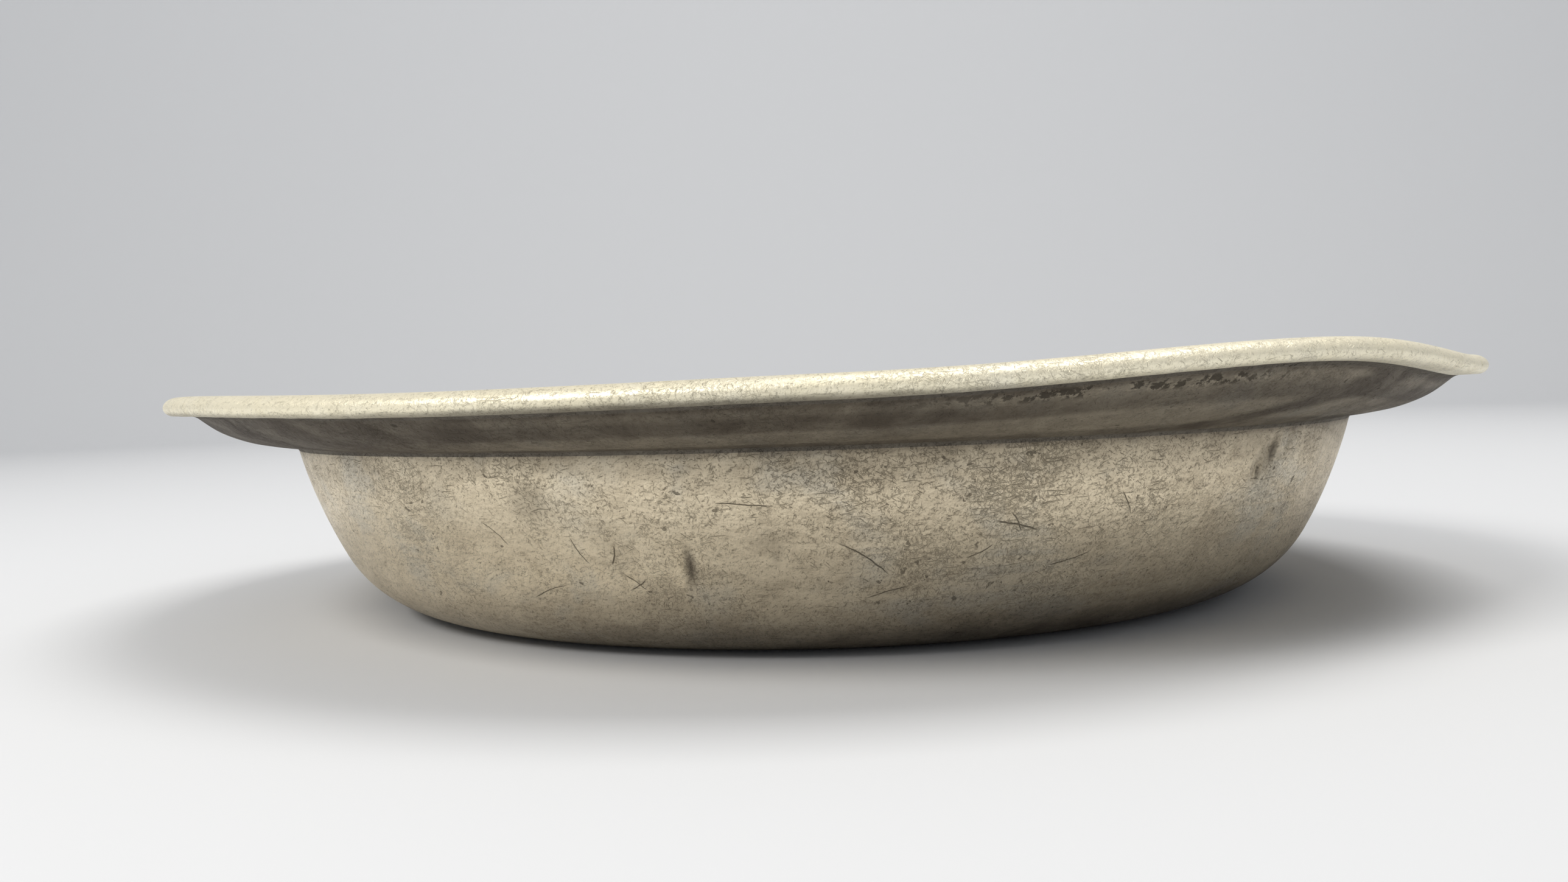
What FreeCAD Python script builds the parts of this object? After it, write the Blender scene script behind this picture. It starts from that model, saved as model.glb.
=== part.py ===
import FreeCAD, Part
import math
import os
import Sketcher

# Deep pewter dish with a wide rim. The base's underside is on z = 0 and the dish's axis is Z.
# Millimetres and degrees. Angles around the rim start at -Y and grow toward +X.
SIZES = {
    "rim_radius": 165,         # outermost edge of the dish; the wall and the base follow it
    "rim_width": 29.25,        # from the outer corner of the wall to the edge
    "wall_spread": 36.75,      # how far the wall leans out between the base and the rim
    "mouth_height": 42.74,     # where the wall meets the rim
    "metal": 2.2,              # thickness of the bowl
    "lean_angle": 76.5,        # steepness of the wall at the rim
    "foot_fullness": 0.893,    # part of the largest round that fits between base and wall
    "land_width": 2.27,        # flat top of the wall, where the rim sits
    "shoulder_run": 2.52,      # slope from the inside of the wall to the rim's top
    "shoulder_rise": 2.26,
    "collar_run": 1.5,         # first part of the rim's underside, which stays true
    "collar_rise": 0.22,
    "rim_rise": 8.61,          # underside of the edge moulding, above the mouth
    "rise_share": 0.485,       # the rim turns up in steps, at these parts of its run;
    "rise_lift": 0.231,        # the bend builds up by the same parts, the height by these,
    "rise_metal": 2.3,         # and the metal is this thick, measured upright
    "flare_share": 0.755,
    "flare_lift": 0.529,
    "flare_metal": 2.5,
    "edge_metal": 2.86,        # height of the face where the rim meets the moulding
    "edge_width": 6.6,
    "band_height": 4.3,
    "nose_height": 1.9,        # widest point of the moulding, above its underside
    "lift_height": 3.6,        # the rim is bent up here
    "lift_angle": 36,
    "lift_before": 34,
    "lift_after": 23.5,
    "dip_height": 1.0,         # and a little down here
    "dip_angle": -23.5,
    "dip_spread": 34,
    "wall_seam_width": 1.4,
    "edge_seam_width": 1.4,
}
SECTIONS = 36                  # cross-sections around each bent ring
FOOT_FLAT_COUNT = 4            # straight flats that line the inside of the foot
WALL_FLAT_COUNT = 2            # and of the wall
MOUTH = ("rim_radius", "-rim_width")
BASE = (*MOUTH, "-wall_spread")
COLLAR = (*MOUTH, "collar_run")
JOINT = ("rim_radius", "-edge_width")
COLLAR_HEIGHT = ("mouth_height", "collar_rise")
EDGE_HEIGHT = ("mouth_height", "rim_rise")

document = FreeCAD.newDocument("Dish")
sheet = document.addObject("Spreadsheet::Sheet", "Sizes")
for row, (word, number) in enumerate(SIZES.items(), start=1):
    sheet.set("A%d" % row, word)
    sheet.set("B%d" % row, str(number))
    sheet.setAlias("B%d" % row, word)
document.recompute()


def amount(*words):
    """Add sizes by name, "-" in front to subtract: the number and the same sum for the sheet."""
    number = 0
    terms = []
    for word in words:
        sign = "-" if word.startswith("-") else "+"
        name = word.lstrip("-")
        number += float(sign + "1") * SIZES[name]
        terms.append("%s Sizes.%s" % (sign, name))
    return number, " ".join(terms)


def part_way(start, stop, share):
    """Value that lies a named share of the way from one value to another."""
    number = start[0] + SIZES[share] * (stop[0] - start[0])
    return number, "%s + Sizes.%s * (%s - (%s))" % (start[1], share, stop[1], start[1])


def bend(angle):
    """Sheet expression for how far the edge is bent up at this angle."""
    lift = ("Sizes.lift_height * cos(90deg * min(1; abs(%g - Sizes.lift_angle)"
            " / (%g < Sizes.lift_angle ? Sizes.lift_before : Sizes.lift_after)))^2" % (angle, angle))
    dip = ("Sizes.dip_height * cos(90deg * min(1; abs(%g - Sizes.dip_angle)"
           " / Sizes.dip_spread))^2" % angle)
    return " + (%s - %s)" % (lift, dip)


def new_sketch(body, name, angle=90):
    """Sketch on the radial plane at an angle: its x is the radius and its y the height."""
    upright = [plane for plane in body.Origin.OriginFeatures if plane.Role == "XZ_Plane"][0]
    sketch = body.newObject("Sketcher::SketchObject", name)
    sketch.AttachmentSupport = (upright, [""])
    sketch.MapMode = "FlatFace"
    turn = FreeCAD.Rotation(FreeCAD.Vector(0, 1, 0), angle - 90)
    sketch.AttachmentOffset = FreeCAD.Placement(FreeCAD.Vector(0, 0, 0), turn)
    return sketch


def bind(sketch, constraint, expression):
    """Add a dimension to the sketch and tie it to the sheet."""
    number = sketch.addConstraint(constraint)
    sketch.setExpression("Constraints[%d]" % number, expression)


def pin(sketch, side, end, radius, height):
    """Hold one end of a side at a radius and a height."""
    bind(sketch, Sketcher.Constraint("DistanceX", -1, 1, side, end, radius[0]), radius[1])
    bind(sketch, Sketcher.Constraint("DistanceY", -1, 1, side, end, height[0]), height[1])


def add_line(sketch, start, stop, construction=False):
    """Straight side between two points."""
    side = Part.LineSegment(FreeCAD.Vector(*start, 0), FreeCAD.Vector(*stop, 0))
    return sketch.addGeometry(side, construction)


def add_outline(sketch, corners):
    """Closed outline through corners, each held at its radius and height from the sheet."""
    points = [(radius[0], height[0]) for radius, height in corners]
    sides = [add_line(sketch, start, stop) for start, stop in zip(points, points[1:] + points[:1])]
    for side, after in zip(sides, sides[1:] + sides[:1]):
        sketch.addConstraint(Sketcher.Constraint("Coincident", side, 2, after, 1))
    for side, (radius, height) in zip(sides, corners):
        pin(sketch, side, 1, radius, height)


def foot_radius():
    """Outer round of the foot, as a part of the largest one that touches base and wall."""
    lean = math.radians(SIZES["lean_angle"])
    reach = SIZES["wall_spread"] - SIZES["mouth_height"] / math.tan(lean)
    number = SIZES["foot_fullness"] * reach / math.tan(lean / 2)
    return number, ("Sizes.foot_fullness / tan(Sizes.lean_angle * 0.5deg)"
                    " * (Sizes.wall_spread - Sizes.mouth_height / tan(Sizes.lean_angle * 1deg))")


def add_wall_curve(sketch, construction=False, inner=False):
    """Base line, foot round and bowed wall, each tangent to the one before."""
    base = amount(*BASE)
    mouth = amount(*MOUTH, *["-land_width"] * inner)
    height = amount("mouth_height")
    floor = amount("metal") if inner else (0, "0")
    foot = foot_radius()
    if inner:
        foot = (foot[0] - SIZES["metal"], foot[1] + " - Sizes.metal")
    lean = math.radians(SIZES["lean_angle"])
    across = mouth[0] - base[0]
    above = height[0] - floor[0] - foot[0]
    wall = ((across ** 2 + above ** 2 - foot[0] ** 2)
            / (2 * (across * math.sin(lean) - above * math.cos(lean) - foot[0])))
    foot_centre = (base[0], floor[0] + foot[0])
    wall_centre = (mouth[0] - wall * math.sin(lean), height[0] + wall * math.cos(lean))
    knee = math.atan2(foot_centre[0] - wall_centre[0], wall_centre[1] - foot_centre[1])
    start = add_line(sketch, (0, floor[0]), (base[0], floor[0]), construction)
    arcs = []
    for centre, radius, first, last in ((foot_centre, foot[0], 0, knee), (wall_centre, wall, knee, lean)):
        circle = Part.Circle(FreeCAD.Vector(*centre, 0), FreeCAD.Vector(0, 0, 1), radius)
        arc = Part.ArcOfCircle(circle, first - math.pi / 2, last - math.pi / 2)
        arcs.append(sketch.addGeometry(arc, construction))
    toe = (mouth[0] - height[0] / math.tan(lean), 0)
    slope = add_line(sketch, toe, (mouth[0], height[0]), construction=True)
    sketch.addConstraint(Sketcher.Constraint("Tangent", start, 2, arcs[0], 1))
    sketch.addConstraint(Sketcher.Constraint("Tangent", arcs[0], 2, arcs[1], 1))
    sketch.addConstraint(Sketcher.Constraint("Tangent", arcs[1], 2, slope, 2))
    sketch.addConstraint(Sketcher.Constraint("PointOnObject", slope, 1, -1))
    bind(sketch, Sketcher.Constraint("Angle", slope, lean), "Sizes.lean_angle * 1deg")
    pin(sketch, start, 1, (0, "0"), floor)
    pin(sketch, start, 2, base, floor)
    bind(sketch, Sketcher.Constraint("Radius", arcs[0], foot[0]), foot[1])
    pin(sketch, arcs[1], 2, mouth, height)
    return start, arcs[0], arcs[1]


def revolve(body, sketch):
    """Turn a section about the dish's axis."""
    turned = body.newObject("PartDesign::Revolution", body.Name + "_turned")
    turned.Profile = sketch
    turned.ReferenceAxis = (sketch, ["V_Axis"])
    turned.Angle = 360
    return body


def loft_ring(label, corners_at):
    """Ring skinned through radial sections, closed on itself at the back of the dish."""
    body = document.addObject("PartDesign::Body", label)
    sketches = []
    for number in range(SECTIONS):
        angle = 360 * number / SECTIONS - 180
        sketch = new_sketch(body, "%s_section_%02d" % (label, number), angle)
        add_outline(sketch, corners_at(bend(angle)))
        sketches.append(sketch)
    document.recompute()
    ring = body.newObject("PartDesign::AdditiveLoft", label + "_skin")
    ring.Profile = sketches[0]
    ring.Sections = sketches[1:]
    ring.Closed = True
    return body


def step_corner(step, rise, top=False):
    """Corner of the rim's section at one of its upward steps, on its underside or its top."""
    radius = part_way(amount(*COLLAR), amount(*JOINT), step + "_share")
    height = part_way(amount(*COLLAR_HEIGHT), amount(*EDGE_HEIGHT), step + "_lift")
    metal = amount(step + "_metal") if top else (0, "")
    return radius, (height[0] + metal[0], "%s %s%s * Sizes.%s_share" % (height[1], metal[1], rise, step))


def edge_corner(rise, *words):
    """Corner where the rim meets the moulding, bent up by the whole of the bend."""
    number, expression = amount(*EDGE_HEIGHT, *words)
    return amount(*JOINT), (number, expression + rise)


def add_flats(sketch, arc, count):
    """Equal straight flats along an arc, joined end to end; gives the first and the last."""
    round_part = sketch.Geometry[arc]
    step = (round_part.LastParameter - round_part.FirstParameter) / count
    points = [round_part.value(round_part.FirstParameter + number * step) for number in range(count + 1)]
    flats = [add_line(sketch, start[:2], stop[:2]) for start, stop in zip(points, points[1:])]
    sketch.addConstraint(Sketcher.Constraint("Coincident", flats[0], 1, arc, 1))
    sketch.addConstraint(Sketcher.Constraint("Coincident", flats[-1], 2, arc, 2))
    for flat, after in zip(flats, flats[1:]):
        sketch.addConstraint([Sketcher.Constraint("Coincident", flat, 2, after, 1),
                              Sketcher.Constraint("PointOnObject", flat, 2, arc),
                              Sketcher.Constraint("Equal", flat, after)])
    return flats[0], flats[-1]


def make_bowl():
    """Flat base, rounded foot and steep wall in one skin of metal, lined with narrow flats."""
    body = document.addObject("PartDesign::Body", "bowl")
    sketch = new_sketch(body, "bowl_section")
    base, foot, wall = add_wall_curve(sketch)
    guide, inner_foot, inner_wall = add_wall_curve(sketch, construction=True, inner=True)
    add_flats(sketch, inner_foot, FOOT_FLAT_COUNT)
    lining = add_flats(sketch, inner_wall, WALL_FLAT_COUNT)[1]
    mouth = amount(*MOUTH)[0], SIZES["mouth_height"]
    floor = add_line(sketch, (amount(*BASE)[0], SIZES["metal"]), (0, SIZES["metal"]))
    axis = add_line(sketch, (0, SIZES["metal"]), (0, 0))
    land = add_line(sketch, mouth, (mouth[0] - SIZES["land_width"], mouth[1]))
    for joint in ((floor, 1, guide, 2), (floor, 2, axis, 1), (floor, 2, guide, 1), (axis, 2, base, 1),
                  (land, 1, wall, 2), (land, 2, lining, 2)):
        sketch.addConstraint(Sketcher.Constraint("Coincident", *joint))
    return revolve(body, sketch)


def rim_corners(rise):
    """Seat, collar, upturned underside, joint face, top, and the shoulder down to the seat."""
    steps = ("rise", "flare")
    return [
        (amount(*MOUTH, "-land_width"), amount("mouth_height")),
        (amount(*MOUTH), amount("mouth_height")),
        (amount(*COLLAR), amount(*COLLAR_HEIGHT)),
        *[step_corner(step, rise) for step in steps],
        edge_corner(rise),
        edge_corner(rise, "edge_metal"),
        *[step_corner(step, rise, top=True) for step in reversed(steps)],
        (amount(*MOUTH, "-land_width", "shoulder_run"), amount("mouth_height", "shoulder_rise")),
    ]


def moulding_corners(rise):
    """Flat underside, a short nose and a half-oval crown back to the joint face."""
    rim = amount("rim_radius")
    edge = amount(*EDGE_HEIGHT)
    corners = [edge_corner(rise)]
    for across, up in ((0.21, 0), (0.045, 0.42)):
        corners.append((
            (rim[0] - across * SIZES["edge_width"], "%s - %g * Sizes.edge_width" % (rim[1], across)),
            (edge[0] + up * SIZES["nose_height"], "%s%s + %g * Sizes.nose_height" % (edge[1], rise, up))))
    half = SIZES["edge_width"] / 2
    crown = SIZES["band_height"] - SIZES["nose_height"]
    for turn in (0, 35, 70, 110):
        lean = math.radians(turn)
        corners.append((
            (rim[0] - half * (1 - math.cos(lean)),
             "%s - Sizes.edge_width / 2 * (1 - cos(%ddeg))" % (rim[1], turn)),
            (edge[0] + SIZES["nose_height"] + crown * math.sin(lean),
             "%s%s + Sizes.nose_height + (Sizes.band_height - Sizes.nose_height) * sin(%ddeg)"
             % (edge[1], rise, turn))))
    return corners + [edge_corner(rise, "edge_metal")]


def edge_seam_corners(rise):
    """Thin fillet between the rim's last upward step and the moulding's underside."""
    joint = edge_corner(rise)
    flare = step_corner("flare", rise)
    width = SIZES["edge_seam_width"]
    part = "(Sizes.edge_seam_width / (%s - (%s)))" % (joint[0][1], flare[0][1])
    drop = width / (joint[0][0] - flare[0][0]) * (joint[1][0] - flare[1][0])
    return [
        joint,
        (amount(*JOINT, "-edge_seam_width"),
         (joint[1][0] - drop, "%s - (%s - (%s)) * %s" % (joint[1][1], joint[1][1], flare[1][1], part))),
        (amount(*JOINT, "edge_seam_width"), joint[1]),
    ]


def make_wall_seam():
    """Thin fillet in the corner between the wall and the rim's collar."""
    body = document.addObject("PartDesign::Body", "wall_seam")
    sketch = new_sketch(body, "wall_seam_section")
    wall = add_wall_curve(sketch, construction=True)[2]
    corner = amount(*MOUTH), amount("mouth_height")
    collar = amount(*COLLAR), amount(*COLLAR_HEIGHT)
    points = [(corner[0][0], corner[1][0]), (collar[0][0], collar[1][0])]
    width = SIZES["wall_seam_width"]
    lip = add_line(sketch, *points, construction=True)
    pin(sketch, lip, 1, *corner)
    pin(sketch, lip, 2, *collar)
    lip_end = (points[0][0] + width, points[0][1] + 0.15 * width)
    foot_end = (points[0][0] - 0.25 * width, points[0][1] - width)
    upper = add_line(sketch, points[0], lip_end)
    face = add_line(sketch, lip_end, foot_end)
    lower = add_line(sketch, foot_end, points[0])
    for joint in ((upper, 2, face, 1), (face, 2, lower, 1), (lower, 2, upper, 1), (upper, 1, lip, 1)):
        sketch.addConstraint(Sketcher.Constraint("Coincident", *joint))
    sketch.addConstraint(Sketcher.Constraint("PointOnObject", upper, 2, lip))
    sketch.addConstraint(Sketcher.Constraint("PointOnObject", face, 2, wall))
    out = amount(*MOUTH, "wall_seam_width")
    down = amount("mouth_height", "-wall_seam_width")
    bind(sketch, Sketcher.Constraint("DistanceX", -1, 1, upper, 2, out[0]), out[1])
    bind(sketch, Sketcher.Constraint("DistanceY", -1, 1, face, 2, down[0]), down[1])
    return revolve(body, sketch)


pieces = [
    make_bowl(),
    loft_ring("rim", rim_corners),
    loft_ring("edge_moulding", moulding_corners),
    make_wall_seam(),
    loft_ring("edge_seam", edge_seam_corners),
]
document.recompute()

for item in document.Objects:
    faults = [word for word in item.State if word in ("Invalid", "Error")]
    if faults:
        raise RuntimeError("%s did not rebuild: %s" % (item.Label, faults))

os.makedirs("parts", exist_ok=True)
for piece in pieces:
    shape = piece.Shape
    if shape.isNull() or not shape.isValid() or len(shape.Solids) != 1:
        raise RuntimeError("%s is not one sound solid" % piece.Label)
    print("%s: %.0f cubic mm" % (piece.Label, shape.Volume))
    shape.exportStep("parts/%s.step" % piece.Label)
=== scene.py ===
# %% [markdown]
# # A worn pewter dish
# This lesson dresses a deep pewter dish: a bowl, a wide rim that somebody has bent, a thick
# rounded band around the edge, and the solder that joins them. The solid model is loaded
# first and never changed. Each piece is then made again as a fine mesh that lies on it.

# %% Load the solid model
import math

import bpy
from mathutils import Matrix, Vector, noise


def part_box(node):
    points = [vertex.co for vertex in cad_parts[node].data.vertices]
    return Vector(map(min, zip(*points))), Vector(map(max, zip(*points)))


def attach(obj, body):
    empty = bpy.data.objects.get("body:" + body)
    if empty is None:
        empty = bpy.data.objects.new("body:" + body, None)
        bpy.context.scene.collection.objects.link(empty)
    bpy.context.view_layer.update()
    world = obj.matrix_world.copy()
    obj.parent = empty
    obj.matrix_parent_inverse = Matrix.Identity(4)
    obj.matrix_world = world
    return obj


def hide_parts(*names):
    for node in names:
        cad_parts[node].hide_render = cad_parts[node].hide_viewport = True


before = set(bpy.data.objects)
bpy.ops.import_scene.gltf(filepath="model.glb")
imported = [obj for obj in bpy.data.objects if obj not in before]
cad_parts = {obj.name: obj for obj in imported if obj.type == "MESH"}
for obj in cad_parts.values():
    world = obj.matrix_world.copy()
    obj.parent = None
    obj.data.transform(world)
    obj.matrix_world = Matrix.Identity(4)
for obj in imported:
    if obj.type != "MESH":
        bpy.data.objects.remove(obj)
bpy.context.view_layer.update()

# %% [markdown]
# ## Sizes
# A turner works from a few sizes and a template of the profile. The mouth's radius and
# height are read from the solid bowl, so that the dressed dish follows it. The curves of the
# template are written here, because a box can't give them. The joint is the corner where the
# band meets the underside of the rim, and the collar is where the rim leaves the wall.

# %% Sizes of the dish
MM = 0.001
bowl_low, bowl_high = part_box("bowl")
MOUTH_RADIUS = bowl_high[0]
MOUTH_HEIGHT = bowl_high[2]
RIM_RADIUS = 165 * MM
BASE_RADIUS = MOUTH_RADIUS - 36.75 * MM
FLAT_RADIUS = BASE_RADIUS - 1 * MM
METAL = 2.2 * MM
LAND_WIDTH = 2.27 * MM
LEAN = math.radians(76.5)
FOOT_CURVE = 30 * MM
BAND_WIDTH = 6.6 * MM
JOINT = (RIM_RADIUS - BAND_WIDTH, MOUTH_HEIGHT + 8.61 * MM)
COLLAR = (MOUTH_RADIUS + 1.5 * MM, MOUTH_HEIGHT + 0.22 * MM)
print("mouth radius %.2f mm, mouth height %.2f mm" % (MOUTH_RADIUS / MM, MOUTH_HEIGHT / MM))
print("rim radius %.2f mm, base radius %.2f mm" % (RIM_RADIUS / MM, BASE_RADIUS / MM))

# %% [markdown]
# ## Spinning a skin
# Dishes like this are turned on a lathe, so one profile turned about the axis gives nearly
# all of the shape. A Screw or Spin modifier would turn it too, but it can't then bend the
# rim on one side or push in a dent. So the rings are placed by a short function, and each
# point is moved by the bends and dents before it becomes a vertex. Every vertex also keeps
# two notes for the finish: where it is along the surface, and how much grime and painted
# shade that place has. For the first, UNROLL turns an angle into metres, since it is nearly
# the wall's radius. In the second, above nought means dirt and painted shade, and below
# nought means a painted highlight.

# %% A function that spins a profile into a mesh
UNROLL = 0.13
SHARP = math.radians(42)


def spin(name, profile, turns, mould=None, grime_and_shade=None, closed=True):
    """Mesh from a profile of (radius, height) points turned about the axis in so many steps."""
    points, along, dirt_and_shade, faces = [], [], [], []
    run = [0.0]
    for before, after in zip(profile, profile[1:]):
        run.append(run[-1] + math.dist(before, after))
    for number, (radius, height) in enumerate(profile):
        at_axis = radius < 1e-6
        for step in range(1 if at_axis else turns):
            angle = 2 * math.pi * step / turns - math.pi
            moved = mould(angle, radius, height, number) if mould else (radius, height)
            points.append((moved[0] * math.sin(angle), -moved[0] * math.cos(angle), moved[1]))
            if radius < FLAT_RADIUS:
                along.append((points[-1][0], points[-1][1], 0.0))
            else:
                along.append((angle * UNROLL, run[number], 0.0))
            dirt_and_shade.append(grime_and_shade(angle, radius, height, number) if grime_and_shade else 0.0)
    starts = [0]
    for radius, height in profile:
        starts.append(starts[-1] + (1 if radius < 1e-6 else turns))
    rings = list(range(len(profile)))
    pairs = list(zip(rings, rings[1:] + ([0] if closed else [])))
    for lower, upper in pairs:
        a, b = starts[lower], starts[upper]
        alone_a = starts[lower + 1] - a == 1
        alone_b = starts[upper + 1] - b == 1
        for step in range(turns):
            after = (step + 1) % turns
            if alone_a:
                faces.append((a, b + after, b + step))
            elif alone_b:
                faces.append((a + step, a + after, b))
            else:
                faces.append((a + step, a + after, b + after, b + step))
    mesh = bpy.data.meshes.new(name)
    mesh.from_pydata(points, [], faces)
    mesh.attributes.new("along", "FLOAT_VECTOR", "POINT").data.foreach_set(
        "vector", [value for point in along for value in point])
    # The grime note holds dirt and painted shade above nought and a painted highlight below
    # nought.
    mesh.attributes.new("grime_and_shade", "FLOAT", "POINT").data.foreach_set("value", dirt_and_shade)
    mesh.shade_smooth()
    mesh.set_sharp_from_angle(angle=SHARP)
    mesh.update()
    piece = bpy.data.objects.new(name, mesh)
    bpy.context.collection.objects.link(piece)
    print("%s: %d rings, %d faces" % (name, len(profile), len(faces)))
    return piece


# %% [markdown]
# ## Tools for drawing a profile
# A template is cut from straight lines and arcs, so two short functions give the points
# along each. The other two fade something in: `ease` over a distance, and `around` over an
# angle round the dish. An angle has to be measured the short way round, or the fade would
# break off in a line at the back.

# %% Helpers for profiles
def divide(start, stop, spacing):
    """Points from start up to but not including stop, about a spacing apart."""
    count = max(1, round(math.dist(start, stop) / spacing))
    return [(start[0] + (stop[0] - start[0]) * step / count,
             start[1] + (stop[1] - start[1]) * step / count) for step in range(count)]


def sweep(centre, radius, first, last, spacing):
    """Points along an arc; its angles are turned from straight down toward the rim."""
    count = max(2, round(abs(last - first) * radius / spacing))
    turns = [first + (last - first) * step / count for step in range(count)]
    return [(centre[0] + radius * math.sin(turn), centre[1] - radius * math.cos(turn))
            for turn in turns]


def ease(low, high, value):
    """Nought below low, one above high, and a smooth slope between."""
    part = min(1.0, max(0.0, (value - low) / (high - low)))
    return part * part * (3 - 2 * part)


def around(angle, centre, near, far):
    """One within so many degrees of a place round the dish, fading to nought further off."""
    apart = math.degrees(math.remainder(angle - math.radians(centre), 2 * math.pi))
    return ease(far, near, abs(apart))


# %% [markdown]
# ## Where the rim is bent
# Pewter is soft. Somebody has dropped this dish, and the rim now stands about four
# millimetres high on one side and sags a little beside that. A raised cosine makes such a
# bend: it starts and ends level, with one smooth top. Its place and spread are degrees round
# the dish, from the front toward the right, and its rise is in millimetres. The wall is
# stiffer than the rim, so the bend builds up outward from the corner, where it is nothing.

# %% The bend
HIGH_AT, HIGH_BEFORE, HIGH_AFTER, RISE = 36, 34, 23.5, 3.6
LOW_AT, LOW_SPREAD, SAG = -23.5, 34, 1.0


def lift(angle):
    """How far the edge stands above true at an angle round the dish."""
    degrees = math.degrees(angle)
    spread = HIGH_BEFORE if degrees < HIGH_AT else HIGH_AFTER
    up = math.cos(math.pi / 2 * min(1, abs(degrees - HIGH_AT) / spread)) ** 2
    down = math.cos(math.pi / 2 * min(1, abs(degrees - LOW_AT) / LOW_SPREAD)) ** 2
    return (RISE * up - SAG * down) * MM


def share(radius):
    """Part of the bend that has built up at a radius."""
    return min(1.0, max(0.0, (radius - COLLAR[0]) / (JOINT[0] - COLLAR[0])))


print("the edge is lifted %.2f mm at %.0f degrees" % (lift(math.radians(HIGH_AT)) / MM, HIGH_AT))

# %% [markdown]
# ## The bowl
# The bowl has a flat base, a round foot and a steep wall that still bows out a little. The
# two arcs meet where they run the same way, so the light slides over them without a line.
# Outside and inside follow the same template, one metal's thickness apart.

# %% Profile of the bowl
def foot_and_wall(floor_height, foot, mouth, spacing):
    """Foot round and wall, tangent to the floor, to each other and to the lean at the mouth."""
    across = mouth - BASE_RADIUS
    above = MOUTH_HEIGHT - floor_height - foot
    wall = ((across ** 2 + above ** 2 - foot ** 2)
            / (2 * (across * math.sin(LEAN) - above * math.cos(LEAN) - foot)))
    foot_centre = (BASE_RADIUS, floor_height + foot)
    wall_centre = (mouth - wall * math.sin(LEAN), MOUTH_HEIGHT + wall * math.cos(LEAN))
    knee = math.atan2(foot_centre[0] - wall_centre[0], wall_centre[1] - foot_centre[1])
    print("foot curve %.1f mm, wall curve %.1f mm" % (foot / MM, wall / MM))
    return (sweep(foot_centre, foot, 0, knee, spacing)
            + sweep(wall_centre, wall, knee, LEAN, spacing))


BASE_SPACING = 16 * MM
inner_mouth = (MOUTH_RADIUS - LAND_WIDTH, MOUTH_HEIGHT)
outside = (divide((0, 0), (BASE_RADIUS, 0), BASE_SPACING)
           + foot_and_wall(0, FOOT_CURVE, MOUTH_RADIUS, 0.95 * MM)
           + divide((MOUTH_RADIUS, MOUTH_HEIGHT), inner_mouth, 1.2 * MM))
inside = (divide((0, METAL), (BASE_RADIUS, METAL), BASE_SPACING)
          + foot_and_wall(METAL, FOOT_CURVE - METAL, inner_mouth[0], 2.2 * MM)
          + [inner_mouth])
bowl_profile = outside + inside[::-1]
print("outside %d points, inside %d points" % (len(outside), len(inside)))

# %% [markdown]
# ## Dents in the wall
# Hard knocks leave marks that catch the light, so these are pressed into the mesh. Each one
# is a small oval bowl: an angle round the dish, a height, half its width, half its height,
# and a depth, in degrees and millimetres. A depth below nought stands out. Two dents that
# overlap make a longer, crooked mark.

# %% The dents
dents = [
    (-11.2, 20.8, 2.6, 6.0, 1.0),
    (-9.9, 22.0, 1.3, 3.0, -0.18),
    (-17.3, 23.4, 1.3, 3.4, 0.45),
    (-3.8, 22.4, 2.6, 2.8, 0.35),
    (-24.0, 33.4, 2.6, 1.6, 0.20),
    (43.8, 36.6, 2.4, 4.8, 0.80),
    (42.4, 33.4, 2.2, 4.4, 0.85),
    (46.5, 38.0, 1.2, 3.6, 0.22),
    (-15.6, 17.6, 2.2, 1.5, 0.22),
    (8.5, 31.0, 9.0, 6.0, 0.16),
    (-34.0, 24.0, 11.0, 7.0, 0.20),
    (24.0, 18.0, 10.0, 6.0, 0.18),
    (78.0, 26.0, 7.0, 5.0, 0.45),
    (131.0, 22.0, 3.0, 4.0, 0.40),
    (-97.0, 30.0, 5.0, 4.0, 0.35),
    (-148.0, 24.0, 2.4, 5.0, 0.42),
    (172.0, 31.0, 6.0, 3.5, 0.38),
]


def pressed(angle, radius, height):
    """How deep the dents are at a place on the outer wall."""
    depth = 0.0
    for turn, level, across, up, deep in dents:
        apart = math.remainder(angle - math.radians(turn), 2 * math.pi) * radius / MM / across
        above = (height / MM - level) / up
        near = apart * apart + above * above
        if near < 1:
            depth += deep * (1 - near) ** 2
    return depth * MM


print("%d dents, the deepest %.2f mm" % (len(dents), max(dent[4] for dent in dents)))

# %% [markdown]
# ## The wall worn
# A slow swell of a tenth of a millimetre stands for metal that was never quite true. It and
# the dents fade out at the base and the mouth, so that the dish stands flat and meets its
# rim. The wall is painted darker toward the foot and in the corner under the rim: this is
# painted shade, and low on the foot it is also a painted reflection of a dark floor. Less of
# it is kept on the left, the side the light falls on, and a patch left of the middle gets a
# painted highlight. Each dent is painted darker on one side and lighter on the other, as
# painted shading that follows its slope, and darker in its hollow.

# %% Shape, dirt and painted shade of the wall
OUTSIDE_COUNT = len(outside)


def swell(angle, radius, height, size, seed):
    """Slow unevenness of hand-finished metal, between about minus one and one."""
    place = Vector((radius * math.sin(angle), radius * math.cos(angle), height * 1.6))
    return noise.noise(place / size + Vector((seed, 0, 0))) * 1.6


def mould_bowl(angle, radius, height, number):
    """Push dents and a slow swell into the outer wall, fading out at the base and the mouth."""
    if number >= OUTSIDE_COUNT:
        return radius, height
    fade = ease(0.4 * MM, 6 * MM, height) * ease(0, 2.5 * MM, MOUTH_HEIGHT - height)
    slow = 0.06 * MM * (1 + swell(angle, radius, height, 26 * MM, 3))
    return radius - (pressed(angle, radius, height) + slow) * fade, height


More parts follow.
